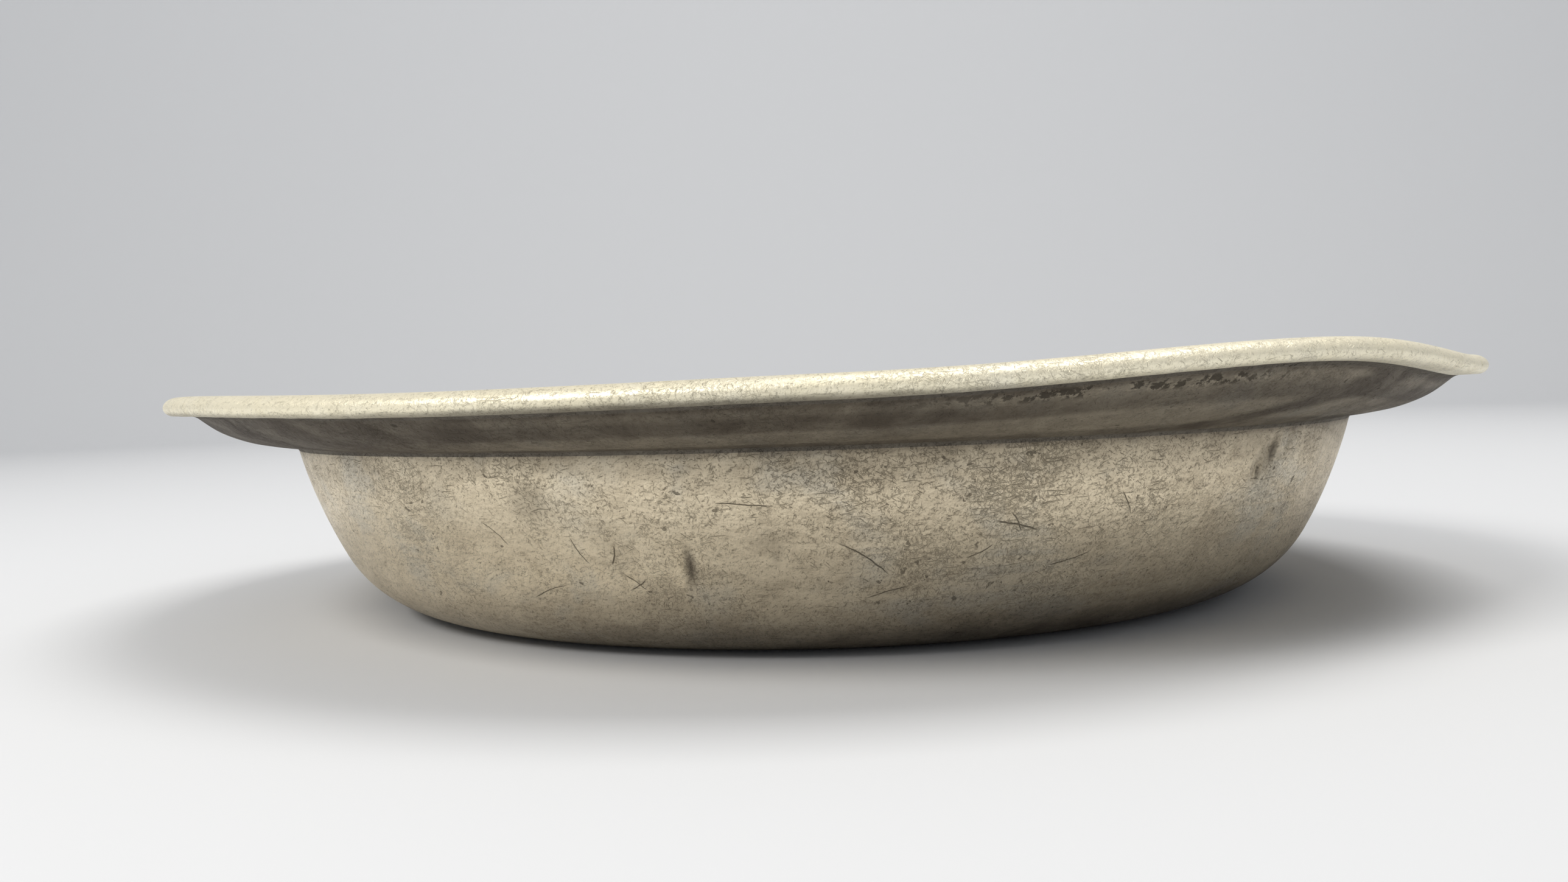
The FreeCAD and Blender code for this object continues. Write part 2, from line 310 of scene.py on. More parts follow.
def grime_and_shade_bowl(angle, radius, height, number):
    """Dirt and painted shade round the foot, under the rim and on one side of each dent; painted
    highlight on the other side and left of the middle.
    """
    if number >= OUTSIDE_COUNT:
        return 0.25 * ease(9 * MM, 3 * MM, height)
    below = MOUTH_HEIGHT - height
    # Share of the painted shade kept: less on the left, where the light falls.
    shade_kept = 1 - 0.35 * around(angle, -90, 45, 85)
    # foot: painted shade and a painted reflection of a dark floor, darker toward the base.
    foot = 0.45 * ease(30 * MM, 10 * MM, height) + 0.45 * ease(13 * MM, 3 * MM, height)
    # corner: painted shade under the rim.
    corner = 0.35 * ease(2.4 * MM, 0.3 * MM, below) + 0.42 * ease(11 * MM, 1 * MM, below)
    # Painted shading of each dent: darker on its right side and lighter on its left.
    step = math.radians(0.4)
    dent_shading = pressed(angle - step, radius, height) - pressed(angle + step, radius, height)
    veil = 0.07 * around(angle, 45, 25, 50)
    # A painted highlight on the wall left of the middle.
    painted_highlight = 0.3 * around(angle, -22, 5, 15)
    painted_highlight *= ease(12 * MM, 20 * MM, height) * ease(2 * MM, 8 * MM, below)
    # dent: the painted shading of its slope, and painted shade in its hollow.
    dent = (0.8 * dent_shading + 0.2 * pressed(angle, radius, height)) / MM
    wall = max(foot, corner) * shade_kept + veil - painted_highlight
    outer = ease(80 * MM, BASE_RADIUS, radius)
    return outer * wall + 0.35 * (1 - outer) + dent


BOWL_TURNS, RIM_TURNS, SOLDER_TURNS = 960, 900, 720
bowl = spin("bowl_skin", bowl_profile, BOWL_TURNS, mould_bowl, grime_and_shade_bowl, closed=False)

# %% [markdown]
# ## The rim
# The rim is a separate ring of sheet. It sits on the wall's flat top, runs out nearly level
# and then turns up in a curve. Its profile is drawn once, and the bend is added while it is
# spun. Both faces are finished, because the underside is what a person sees on a shelf.

# %% Profile of the rim
def flow(marks, spacing):
    """Points along a smooth curve through marks, by Catmull and Rom's rule."""
    line = []
    ends = [marks[0], *marks, marks[-1]]
    for one, two, three, four in zip(ends, ends[1:], ends[2:], ends[3:]):
        count = max(1, round(math.dist(two, three) / spacing))
        for step in range(count):
            t = step / count
            line.append(tuple(0.5 * (2 * b + (c - a) * t + (2 * a - 5 * b + 4 * c - d) * t * t
                                     + (3 * b - a - 3 * c + d) * t ** 3)
                              for a, b, c, d in zip(one, two, three, four)))
    return line


EDGE_METAL = 2.86
mouth = (MOUTH_RADIUS, MOUTH_HEIGHT)
upturn = [(0.225, 0.082, 2.2), (0.485, 0.231, 2.3), (0.755, 0.529, 2.5), (1, 1, EDGE_METAL)]
under, top = [COLLAR], []
for part, rise, metal in upturn:
    mark = (COLLAR[0] + part * (JOINT[0] - COLLAR[0]),
            COLLAR[1] + rise * (JOINT[1] - COLLAR[1]))
    under.append(mark)
    top.append((mark[0], mark[1] + metal * MM))
shoulder = [(inner_mouth[0] + across * MM, MOUTH_HEIGHT + up * MM)
            for across, up in ((3.9, 2.46), (2.4, 2.24), (0.82, 1.6), (0.1, 0.76), (0, 0))]
underside = (divide(inner_mouth, mouth, 1.2 * MM) + divide(mouth, COLLAR, 0.5 * MM)
             + flow(under, 0.9 * MM))
rim_profile = (underside + divide(JOINT, top[-1], 1.0 * MM)
               + flow(top[::-1] + shoulder, 0.9 * MM))
UNDER_COUNT = len(underside)


print("underside %d points, whole rim %d points" % (UNDER_COUNT, len(rim_profile)))

# %% [markdown]
# ## The rim bent, soiled and shaded
# The bend grows with the share of the way out from the collar. The top face is wiped and
# stays nearly clean. The underside is dark all over: partly heavier tarnish, and partly
# painted shade and a painted reflection of a dark floor. It is darkest in the crease by the
# wall, in the hollow of the curve and under the band, where it is painted shade and painted
# reflection. It is painted darker on the left and lighter on the right, as the light falls.
# On the right a smear curves across it.

# %% Shape, dirt and painted shade of the rim
def mould_rim(angle, radius, height, number):
    """Add the bend and a faint unevenness that is least near the seat."""
    part = share(radius)
    wave = 0.09 * MM * swell(angle, radius, 0, 21 * MM, 11) * part * (1 - part) * 3
    return radius, height + lift(angle) * part + wave


def grime_and_shade_rim(angle, radius, height, number):
    """Dark underneath, partly tarnish and partly painted shade, most of all in the creases and the
    smear, and nearly clean on top.
    """
    if number > UNDER_COUNT:
        return 0.12
    # flank: painted shade on the left and a painted lighter panel on the right.
    flank = 0.25 * around(angle, -95, 50, 80) - 0.14 * around(angle, 30, 8, 28)
    # crease: painted shade in the corner by the wall.
    crease = 0.22 * ease(143.5 * MM, 141 * MM, radius)
    curve = 33 + 0.9 * (radius / MM - 142)
    smear = 0.32 * around(angle, curve, 0.5, 4.5)
    # hollow: painted reflection of a dark floor in the curve.
    hollow = 0.25 * ease(149.5 * MM, 152 * MM, radius) * ease(158 * MM, 153 * MM, radius)
    # undercut: painted shadow under the band.
    undercut = 0.25 * ease(155.9 * MM, 157.4 * MM, radius)
    # The 0.81 over the whole underside is partly tarnish, partly painted shade and reflection.
    return min(1.0, 0.81 + max(crease, hollow, undercut, 0.05) + flank + smear)


rim = spin("rim_skin", rim_profile, RIM_TURNS, mould_rim, grime_and_shade_rim)

# %% [markdown]
# ## The band round the edge
# The edge is stiffened with a thick rounded band, flat underneath and domed on top. Years
# of handling have left its lower edge wavy and put nicks in it. Those show in its outline,
# so they are modelled. A nick is an angle round the dish, half its width and its depth. The
# waves come from noise sampled along the circle, which has no seam, because the sample point
# comes back to where it started.

# %% Profile of the band
def band_section():
    """Flat underside, rounded nose, half-oval crown and the face against the rim."""
    half, crown = BAND_WIDTH / 2, 2.4 * MM
    centre = (RIM_RADIUS - half, JOINT[1] + 1.9 * MM)
    nose = [(RIM_RADIUS - back * MM, JOINT[1] + up * MM)
            for back, up in ((2.6, 0), (1.6, 0.12), (0.75, 0.55), (0.2, 1.15), (0, 1.9))]
    line = divide(JOINT, nose[0], 0.6 * MM) + flow(nose, 0.35 * MM)
    for step in range(18):
        turn = math.radians(step * 8.1)
        line.append((centre[0] + half * math.cos(turn), centre[1] + crown * math.sin(turn)))
    return line + divide((JOINT[0], JOINT[1] + EDGE_METAL * MM), JOINT, 1.0 * MM)


band_profile = band_section()
nicks = [(16.3, 0.5, 0.30), (29.6, 0.8, 0.35), (39.5, 0.6, 0.40), (-31.0, 0.5, 0.25),
         (-8.0, 0.7, 0.22), (58.0, 0.9, 0.35), (97.0, 0.8, 0.40), (-75.0, 1.0, 0.40),
         (151.0, 0.8, 0.35), (-128.0, 0.9, 0.4)]


def mould_band(angle, radius, height, number):
    """Add the bend, the wavy underside, and the nicks across the nose and crown."""
    out = ease(159.5 * MM, 164 * MM, radius)
    low = ease(1.9 * MM, 0.3 * MM, height - JOINT[1])
    circle = Vector((math.sin(angle), math.cos(angle), 0))
    wave = noise.noise(circle * 17) * 0.16 + noise.noise(circle * 61) * 0.10
    nick = 0.0
    for turn, width, deep in nicks:
        apart = math.remainder(angle - math.radians(turn), 2 * math.pi) * RIM_RADIUS / MM
        nick += deep * max(0.0, 1 - abs(apart) / width) * out * (1 - low)
    inward = (0.05 + 0.12 * abs(wave)) * out + nick
    return radius - inward * MM, height + lift(angle) + (wave + 0.1) * low * out * MM


def grime_and_shade_band(angle, radius, height, number):
    """Painted shade underneath and beside the rim, and a painted highlight on two sides."""
    above = height - JOINT[1]
    # Painted shade on the underside, with a little yellowish soil above it.
    lower = 0.7 * ease(1.5 * MM, 0.1 * MM, above) + 0.1 * ease(3.2 * MM, 1.2 * MM, above)
    # Painted highlights at two places round the band.
    side_highlight = 0.7 * around(angle, 48, 25, 50) + 0.4 * around(angle, -62, 25, 50)
    # Painted shade on the face beside the rim.
    return max(lower, 0.7 * ease(160 * MM, 158.6 * MM, radius)) - side_highlight


band = spin("edge_band", band_profile, RIM_TURNS, mould_band, grime_and_shade_band)

# %% [markdown]
# ## Solder
# Two thin lines of solder hold the three pieces together: one in the corner under the rim
# and one under the band. A hollow, slightly lumpy fillet says solder, where a clean chamfer
# would say machine. Both are dark all the way round: partly dirt, and partly painted shade
# of the corner each sits in.

# %% The two solder lines
def fillet(corner, first, last, hollow):
    """Three-cornered section; its ends are given from the corner, in millimetres."""
    start, stop = ((corner[0] + across * MM, corner[1] + up * MM) for across, up in (first, last))
    middle = ((start[0] + stop[0]) / 2, (start[1] + stop[1]) / 2)
    pulled = (middle[0] + (corner[0] - middle[0]) * hollow,
              middle[1] + (corner[1] - middle[1]) * hollow)
    return (divide(corner, start, 0.5 * MM) + flow([start, pulled, stop], 0.25 * MM)
            + divide(stop, corner, 0.5 * MM))


def mould_solder(angle, radius, height, number):
    """Follow the bend, with small lumps along the run."""
    lump = noise.noise(Vector((math.sin(angle), math.cos(angle), height * 90)) * 40) * 0.05 * MM
    return radius + lump, height + lift(angle) * share(radius) - abs(lump) * 0.4


# Fixed grime values: dirt, and painted shade of the corner and of the shadow under the band.
wall_solder = spin("wall_solder", fillet(mouth, (-0.17, -0.7), (0.8, 0.12), 0.35),
                   SOLDER_TURNS, mould_solder, lambda *place: 0.45)
edge_solder = spin("edge_solder", fillet(JOINT, (-0.9, -0.69), (0.9, 0), 0.3),
                   SOLDER_TURNS, mould_solder, lambda *place: 0.6)

# %% [markdown]
# ## Who stands for what
# Each dressed piece replaces the solid in the same place and rides on the dish's one body.
# The slot says which finish in the record it takes after.

# %% Fit the pieces to the frame
for piece, node_name, slot_name in (
        (bowl, "bowl", "bowl_pewter"), (rim, "rim", "rim_pewter"),
        (band, "edge_moulding", "edge_pewter"), (wall_solder, "wall_seam", "wall_solder"),
        (edge_solder, "edge_seam", "edge_solder")):
    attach(piece, "root")
    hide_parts(node_name)
    print(piece.name, "stands for", node_name)

# %% [markdown]
# ## Nodes by hand
# A finish is a small machine of nodes. Writing `node(...)` once keeps each step of the
# machine to one line: the kind of node, its settings, and what goes into it. The helpers
# after it name the few steps that come back again and again: arithmetic, a smooth step, a
# blend of two colours, noise, and a place that is stretched or moved.

# %% A short way to write nodes
def node(tree, kind, inputs=None, **settings):
    """New node with settings, and inputs given as numbers or as other nodes' outputs."""
    made = tree.nodes.new(kind)
    for name, value in settings.items():
        setattr(made, name, value)
    for name, value in (inputs or {}).items():
        if isinstance(value, bpy.types.NodeSocket):
            tree.links.new(value, made.inputs[name])
        else:
            made.inputs[name].default_value = value
    return made


def sum_of(tree, what, first, second=0.0, third=0.0, clamp=False):
    """One step of arithmetic; only MULTIPLY_ADD takes a third number."""
    inputs = {0: first, 1: second}
    if what == "MULTIPLY_ADD":
        inputs[2] = third
    return node(tree, "ShaderNodeMath", inputs, operation=what, use_clamp=clamp).outputs[0]


def between(tree, value, low, high, start=0.0, stop=1.0):
    """Smooth step from start to stop as value goes from low to high."""
    return node(tree, "ShaderNodeMapRange",
                {"Value": value, "From Min": low, "From Max": high,
                 "To Min": start, "To Max": stop},
                interpolation_type="SMOOTHSTEP").outputs["Result"]


def mix(tree, part, first, second):
    """Blend two colours. In this node 0 is the share, and 6 and 7 are the colours."""
    made = node(tree, "ShaderNodeMix", data_type="RGBA")
    for number, value in ((0, part), (6, first), (7, second)):
        socket = made.inputs[number]
        if isinstance(value, bpy.types.NodeSocket):
            tree.links.new(value, socket)
        else:
            socket.default_value = value
    return made.outputs[2]


def cloud(tree, place, scale, detail=3.0, rough=0.55, warp=0.0):
    """Noise between nought and one."""
    return node(tree, "ShaderNodeTexNoise", {"Vector": place, "Scale": scale, "Detail": detail,
                                             "Roughness": rough, "Distortion": warp}).outputs[0]


def stretched(tree, place, size):
    """The same place, scaled, so that noise on it comes out as streaks."""
    return node(tree, "ShaderNodeMapping", {"Vector": place, "Scale": size}).outputs[0]


def shifted(tree, place, by):
    """The same place, moved a little."""
    return node(tree, "ShaderNodeVectorMath", {0: place, 1: by}, operation="ADD").outputs[0]


# %% [markdown]
# ## Pits and scratches
# Knives, grit and damp leave pits and short scratches, thick in some places and thin in
# others. Noise that is cut off near its top leaves small separate islands, and those are the
# pits. The edges between cells, pushed about and broken up, are curly scratches. Noise drawn
# out along one line and cut off gives straight ones. Every size is the mark's own real size
# in metres, so the wear looks right from near and from far.

# %% Layers of wear
CURLS = ((520, 0.00005), (900, 0.00004))
STROKES = ((0.35, 0.0032, 0.00026), (-0.6, 0.0026, 0.00026), (1.25, 0.0026, 0.00024),
           (-1.3, 0.002, 0.00024), (0.04, 0.007, 0.00026))


def wander(tree, place, scale, reach):
    """The place, pushed about by noise, so that what is drawn on it curls."""
    push = node(tree, "ShaderNodeTexNoise",
                {"Vector": place, "Scale": scale, "Detail": 2.0}).outputs["Color"]
    centred = node(tree, "ShaderNodeVectorMath", {0: push, 1: (0.5, 0.5, 0.5)},
                   operation="SUBTRACT").outputs[0]
    scaled = node(tree, "ShaderNodeVectorMath", {0: centred, "Scale": reach},
                  operation="SCALE").outputs[0]
    return shifted(tree, place, scaled)


def pits(tree, place, crowd):
    """Small ragged holes, thicker where the crowd value is high."""
    fine = cloud(tree, wander(tree, place, 900, 0.0008), 1350, 2, 0.5)
    fine = between(tree, sum_of(tree, "MULTIPLY_ADD", crowd, 0.34, fine), 0.8, 0.87)
    coarse = cloud(tree, wander(tree, place, 500, 0.0015), 560, 2, 0.5)
    coarse = between(tree, sum_of(tree, "MULTIPLY_ADD", crowd, 0.3, coarse), 0.87, 0.9)
    return sum_of(tree, "MAXIMUM", sum_of(tree, "MULTIPLY", fine, 0.45),
                  sum_of(tree, "MULTIPLY", coarse, 0.8))


def curls(tree, place, scale, width, crowd):
    """Short curly scratches: cell edges on a wandering place, broken up by noise."""
    cells = node(tree, "ShaderNodeTexVoronoi",
                 {"Vector": wander(tree, place, scale * 1.3, 1.3 / scale),
                  "Scale": float(scale)}, feature="DISTANCE_TO_EDGE")
    line = between(tree, cells.outputs["Distance"], width * scale, 0.3 * width * scale)
    gaps = cloud(tree, place, scale * 0.9, 2, 0.5)
    kept = between(tree, sum_of(tree, "MULTIPLY_ADD", crowd, 0.5, gaps), 0.78, 0.86)
    return sum_of(tree, "MULTIPLY", line, kept)


def strokes(tree, along, turn, length, width, crowd):
    """Short straight scratches that lie one way: noise drawn out and cut off near its top."""
    drawn = node(tree, "ShaderNodeMapping",
                 {"Vector": along, "Location": (turn, 0.3 * turn, 0),
                  "Rotation": (0, 0, turn), "Scale": (length, width, 1)},
                 vector_type="TEXTURE").outputs[0]
    high = sum_of(tree, "MULTIPLY_ADD", crowd, 0.25, cloud(tree, drawn, 1, 1, 0.4))
    return between(tree, high, 0.82, 0.9)


def small_marks(tree, place, along, crowd):
    """Curly and straight scratches, from a millimetre to a few millimetres long."""
    marks = 0.0
    for scale, width in CURLS:
        curly = sum_of(tree, "MULTIPLY", curls(tree, place, scale, width, crowd), 0.45)
        marks = sum_of(tree, "MAXIMUM", marks, curly)
    bowed = wander(tree, along, 240, 0.0014)
    for turn, length, width in STROKES:
        straight = strokes(tree, bowed, turn, length, width, crowd)
        marks = sum_of(tree, "MAXIMUM", marks, sum_of(tree, "MULTIPLY", straight, 0.6))
    return marks


def scratch(tree, split, start, stop, width, bow):
    """One scratch between two places on the unrolled surface, bowed a little to one side."""
    length = math.dist(start, stop)
    across, up = (stop[0] - start[0]) / length, (stop[1] - start[1]) / length
    x = sum_of(tree, "SUBTRACT", split[0], start[0])
    y = sum_of(tree, "SUBTRACT", split[1], start[1])
    far = sum_of(tree, "MULTIPLY_ADD", y, up, sum_of(tree, "MULTIPLY", x, across))
    side = sum_of(tree, "MULTIPLY_ADD", y, across, sum_of(tree, "MULTIPLY", x, -up))
    left = sum_of(tree, "SUBTRACT", length, far)
    curve = sum_of(tree, "MULTIPLY", sum_of(tree, "MULTIPLY", far, left), 4 * bow / length ** 2)
    off = sum_of(tree, "ABSOLUTE", sum_of(tree, "SUBTRACT", side, curve))
    ends = sum_of(tree, "MINIMUM", far, left)
    return sum_of(tree, "MULTIPLY", between(tree, off, width, 0.4 * width),
                  between(tree, ends, 0, 0.2 * length))


# %% [markdown]
# ## The colour of bare pewter
# Pewter is a soft grey metal that turns warm and cloudy. From far off it is mottled in
# patches as wide as a thumb, in a light, a dark and a cooler tone. Closer, it has faint rings
# from the lathe and streaks where it was wiped. The skin itself is crumbled, and each grain
# is painted lighter on one side and darker on the other, as painted light and shade. The
# sides are found by subtracting the same noise, read a little higher up. Bump alone would
# show such grains only under a hard lamp.

# %% Tones, rings and grain
GRAIN = (850, 3, 0.7)
GRAIN_STEP = (-0.00012, 0, 0.00018)


def shared_noises(tree, place):
    """The noises that several layers need, each at its own real size."""
    return {"patches": cloud(tree, place, 24, 5, 0.62, 0.6),
            "mottle": cloud(tree, stretched(tree, place, (1, 1, 1.6)), 105, 5, 0.65, 0.5),
            "freckle": cloud(tree, place, 420, 3, 0.6, 0.3),
            "turned": cloud(tree, stretched(tree, place, (9, 9, 620)), 1, 3, 0.65),
            "grain": cloud(tree, place, *GRAIN),
            "crowd": cloud(tree, place, 44, 3, 0.6)}


def bare_metal(tree, place, along, noises, tones, painted_highlight, deep, rings):
    """How dark the patches are, and the colour of the metal with the painted light and shade of
    its grain, before dirt and wear.
    """
    tone = sum_of(tree, "ADD", between(tree, noises["patches"], 0.36, 0.7, 0.05, 0.47),
                  between(tree, noises["mottle"], 0.32, 0.7, -0.2, 0.32), clamp=True)
    cool = between(tree, cloud(tree, place, 47, 3, 0.6, 0.4), 0.5, 0.68, 0, 0.65)
    freckled = between(tree, noises["freckle"], 0.45, 0.7, 0, 0.3)
    ringed = between(tree, noises["turned"], 0.5, 0.78, 0, 0.3 * rings)
    # The grain read a little higher up; the difference paints a highlight on one side of each
    # grain and shade on the other.
    above = cloud(tree, shifted(tree, place, GRAIN_STEP), *GRAIN)
    grain_light_and_shade = sum_of(tree, "SUBTRACT", noises["grain"], above)
    wiped = cloud(tree, stretched(tree, along, (16, 330, 1)), 1, 3, 0.6)
    wiped = sum_of(tree, "MULTIPLY", between(tree, wiped, 0.5, 0.64, 0, 0.6 * rings),
                   between(tree, cloud(tree, place, 19, 1), 0.4, 0.6))
    colour = tones[0]
    for part, other in (
            (tone, tones[1]), (cool, tones[2]), (freckled, tones[1]), (ringed, tones[1]),
            (between(tree, grain_light_and_shade, 0.01, 0.16, 0, 0.5), painted_highlight),
            (between(tree, grain_light_and_shade, -0.01, -0.16, 0, 0.42), deep), (wiped, tones[0])):
        colour = mix(tree, part, colour, other)
    return tone, colour


# %% [markdown]
# ## Burrs, flakes, stains and painted highlights
# A scratch in soft metal throws up a burr, and a painted highlight lies along one side of it.
# All the small marks are drawn a second time a little further down, and what the first ones
# don't cover is the burr and its painted highlight. On the front right of the rim the skin
# has come off just inside the band. The bare crumbs are dark, and beside each one a painted
# highlight is laid, found the same way. Stains are ragged round spots. A few tiny specks are
# painted glints.

# %% Marks that lie on the metal
BURR_HIGHLIGHT_RISE, BURR_HIGHLIGHT_SIDE = 0.00014, -0.00009
FLAKE_HIGHLIGHT_STEP = (0.0006, 0, 0.0003)


def worn(tree, place, along, grime_and_shade, crowd, pitted, scratched):
    """How worn a place is, how much painted highlight it has, and how high its burr stands."""
    fine = small_marks(tree, place, along, crowd)
    beside = small_marks(tree, shifted(tree, place, (BURR_HIGHLIGHT_SIDE, 0, BURR_HIGHLIGHT_RISE)),
                         shifted(tree, along, (BURR_HIGHLIGHT_SIDE, BURR_HIGHLIGHT_RISE, 0)), crowd)
    # The burr, and the painted highlight along one side of each mark.
    burr_and_highlight = sum_of(tree, "SUBTRACT", beside, fine, clamp=True)
    # Sparse tiny specks painted as glints.
    painted_glint = between(tree, cloud(tree, place, 640, 1, 0.4), 0.79, 0.83)
    bright = sum_of(tree, "MULTIPLY", sum_of(tree, "MAXIMUM", burr_and_highlight, painted_glint), 0.6 * scratched)
    # Grime below nought is a painted highlight.
    bright = sum_of(tree, "MAXIMUM", bright, sum_of(tree, "MULTIPLY", grime_and_shade, -1.0))
    wear = sum_of(tree, "MAXIMUM", sum_of(tree, "MULTIPLY", pits(tree, place, crowd), pitted),
                  sum_of(tree, "MULTIPLY", fine, scratched))
    return wear, bright, burr_and_highlight


def flaking(tree, place, radius, wear, bright):
    """Dark crumbs with a painted highlight beside each, in a ring of this radius, on the front
    right only.
    """
    flat = node(tree, "ShaderNodeVectorMath", {0: place, 1: (1, 1, 0)},
                operation="MULTIPLY").outputs[0]
    out = node(tree, "ShaderNodeVectorMath", {0: flat}, operation="LENGTH").outputs["Value"]
    off = sum_of(tree, "ABSOLUTE", sum_of(tree, "SUBTRACT", out, radius))
    part = node(tree, "ShaderNodeSeparateXYZ", {0: place}).outputs
    side = sum_of(tree, "MULTIPLY", between(tree, part[0], 0, 45 * MM),
                  between(tree, part[0], 105 * MM, 70 * MM))
    side = sum_of(tree, "MULTIPLY", side, between(tree, part[1], 20 * MM, -20 * MM))
    here = sum_of(tree, "MULTIPLY", between(tree, off, 1.7 * MM, 0.6 * MM), side)
    crumbs = between(tree, cloud(tree, place, 360, 4, 0.7), 0.52, 0.58)
    # The crumbs shifted a little: what they don't cover is a painted highlight on one side.
    flake_highlight = cloud(tree, shifted(tree, place, FLAKE_HIGHLIGHT_STEP), 360, 4, 0.7)
    flake_highlight = between(tree, flake_highlight, 0.5, 0.58)
    flake_highlight = sum_of(tree, "SUBTRACT", flake_highlight, crumbs, clamp=True)
    return (sum_of(tree, "MAXIMUM", wear, sum_of(tree, "MULTIPLY", crumbs, here)),
            sum_of(tree, "MAXIMUM", bright, sum_of(tree, "MULTIPLY", flake_highlight, here)))


def stained(tree, place, mottle, dirt_and_shade, spots):
    """Dirt with its stains; each is an angle, a height, a size and a strength."""
    reach = MOUTH_RADIUS - 4 * MM
    for angle, height, size, strength in spots:
        turn = math.radians(angle)
        centre = (reach * math.sin(turn), -reach * math.cos(turn), height * MM)
        away = node(tree, "ShaderNodeVectorMath", {0: place, 1: centre},
                    operation="DISTANCE").outputs["Value"]
        ragged = sum_of(tree, "MULTIPLY_ADD", mottle, -6 * MM, away)
        spot = between(tree, ragged, size * MM, 0.3 * size * MM - 3 * MM, 0, strength)
        dirt_and_shade = sum_of(tree, "MAXIMUM", dirt_and_shade, spot)
    return dirt_and_shade


def relief(tree, noises, wear, burr_and_highlight, rings):
    """Bump: marks go down, and burrs, grain, rings and slow unevenness stand up."""
    height = sum_of(tree, "MULTIPLY_ADD", wear, -1.3,
                    sum_of(tree, "MULTIPLY", noises["grain"], 0.9))
    for layer, amount in ((burr_and_highlight, 0.5), (noises["freckle"], 0.7), (noises["mottle"], 0.9),
                          (noises["turned"], 0.3 * rings)):
        height = sum_of(tree, "MULTIPLY_ADD", layer, amount, height)
    return node(tree, "ShaderNodeBump", {"Height": height, "Strength": 0.75,
                                         "Distance": 0.00022}).outputs[0]


# %% [markdown]
# ## The finish put together
# Painted highlights are laid on first, then dirt and painted shade, then the dark of pits and
# scratches. So dirt and painted shade can cover a painted highlight, and a scratch still shows
# through them. Dirt is dull and is no metal, so it and the painted shade also take away the
# shine. The marks go into the colour, because dirt fills them, and into the bump, because
# they catch the light.

# %% The pewter finish
def pewter(name, tones, soil_and_shade, rough, shine=0.9, pitted=1.0, scratched=1.0, rings=1.0,
           flaked=0.0, spots=(), scratches=()):
    """Worn pewter: three tones of metal, the colour of its grime and painted shade, and how much
    wear it has.
    """
    material = bpy.data.materials.new(name)
    material.use_nodes = True
    tree = material.node_tree
    tree.nodes.clear()
    place = node(tree, "ShaderNodeTexCoord").outputs["Object"]
    along = node(tree, "ShaderNodeAttribute", attribute_name="along").outputs["Vector"]
    grime_and_shade = node(tree, "ShaderNodeAttribute", attribute_name="grime_and_shade").outputs["Fac"]
    brighter = min(1.2, 1 / max(tones[0][:3]))
    # The lighter colour is for painted highlights; deep is the dark of pits and scratches and also
    # the painted shade of the grain.
    painted_highlight = tuple(value * brighter for value in tones[0][:3]) + (1,)
    deep = tuple(0.4 * value for value in soil_and_shade[:3]) + (1,)

    noises = shared_noises(tree, place)
    tone, colour = bare_metal(tree, place, along, noises, tones, painted_highlight, deep, rings)
    wear, bright, burr_and_highlight = worn(tree, place, along, grime_and_shade, noises["crowd"], pitted, scratched)
    if flaked:
        wear, bright = flaking(tree, place, flaked, wear, bright)
    if scratches:
        split = node(tree, "ShaderNodeSeparateXYZ", {0: wander(tree, along, 500, 0.0005)}).outputs
        for one in scratches:
            wear = sum_of(tree, "MAXIMUM", wear, scratch(tree, split, *one))
    # Dirt and painted shade from the vertex note, with the stains.
    dirt_and_shade = sum_of(tree, "MULTIPLY", grime_and_shade, between(tree, noises["mottle"], 0.25, 0.7, 0.93, 1.05))
    dirt_and_shade = stained(tree, place, noises["mottle"], dirt_and_shade, spots)
    dirt_and_shade = sum_of(tree, "MULTIPLY", dirt_and_shade, 0.94, clamp=True)
    # Painted highlights first, then dirt and painted shade, then the dark of marks.
    colour = mix(tree, bright, colour, painted_highlight)
    colour = mix(tree, dirt_and_shade, colour, soil_and_shade)
    colour = mix(tree, sum_of(tree, "MULTIPLY", wear, 0.72), colour, deep)

    dull = sum_of(tree, "MULTIPLY_ADD", tone, 0.12,
                  sum_of(tree, "MULTIPLY_ADD", dirt_and_shade, 0.25, rough))
    dull = sum_of(tree, "MULTIPLY_ADD", wear, 0.3, dull, clamp=True)
    metal = sum_of(tree, "MULTIPLY_ADD", dirt_and_shade, -0.85 * shine, shine)
    shader = node(tree, "ShaderNodeBsdfPrincipled",
                  {"Base Color": colour, "Roughness": dull, "Metallic": metal,
                   "Normal": relief(tree, noises, wear, burr_and_highlight, rings),
                   "Specular IOR Level": 0.25})
    output = node(tree, "ShaderNodeOutputMaterial")
    tree.links.new(shader.outputs[0], output.inputs[0])
    print("%s: %d nodes" % (name, len(tree.nodes)))
    return material


# %% [markdown]
# ## One finish for each piece
# All the pieces share one recipe with different amounts. The wall carries the old stains and
# the long scratches, which are placed one by one: each is two places on the wall, given as an
# angle and a height, then its width and its bow. The band is paler, a lighter copy that paints
# the strong light on it, and less of a mirror, with a fine haze. The solder is darker, since it
# is another metal, and its darkness also paints the shade of the corners it sits in.

# %% Give each piece its own pewter
def unrolled(degrees, height):
    """Place on the unrolled outer wall, as kept in the along note."""
    run = 0.0
    for before, after in zip(outside, outside[1:]):
        if after[1] > height * MM:
            break
        run += math.dist(before, after)
    return math.radians(degrees) * UNROLL, run


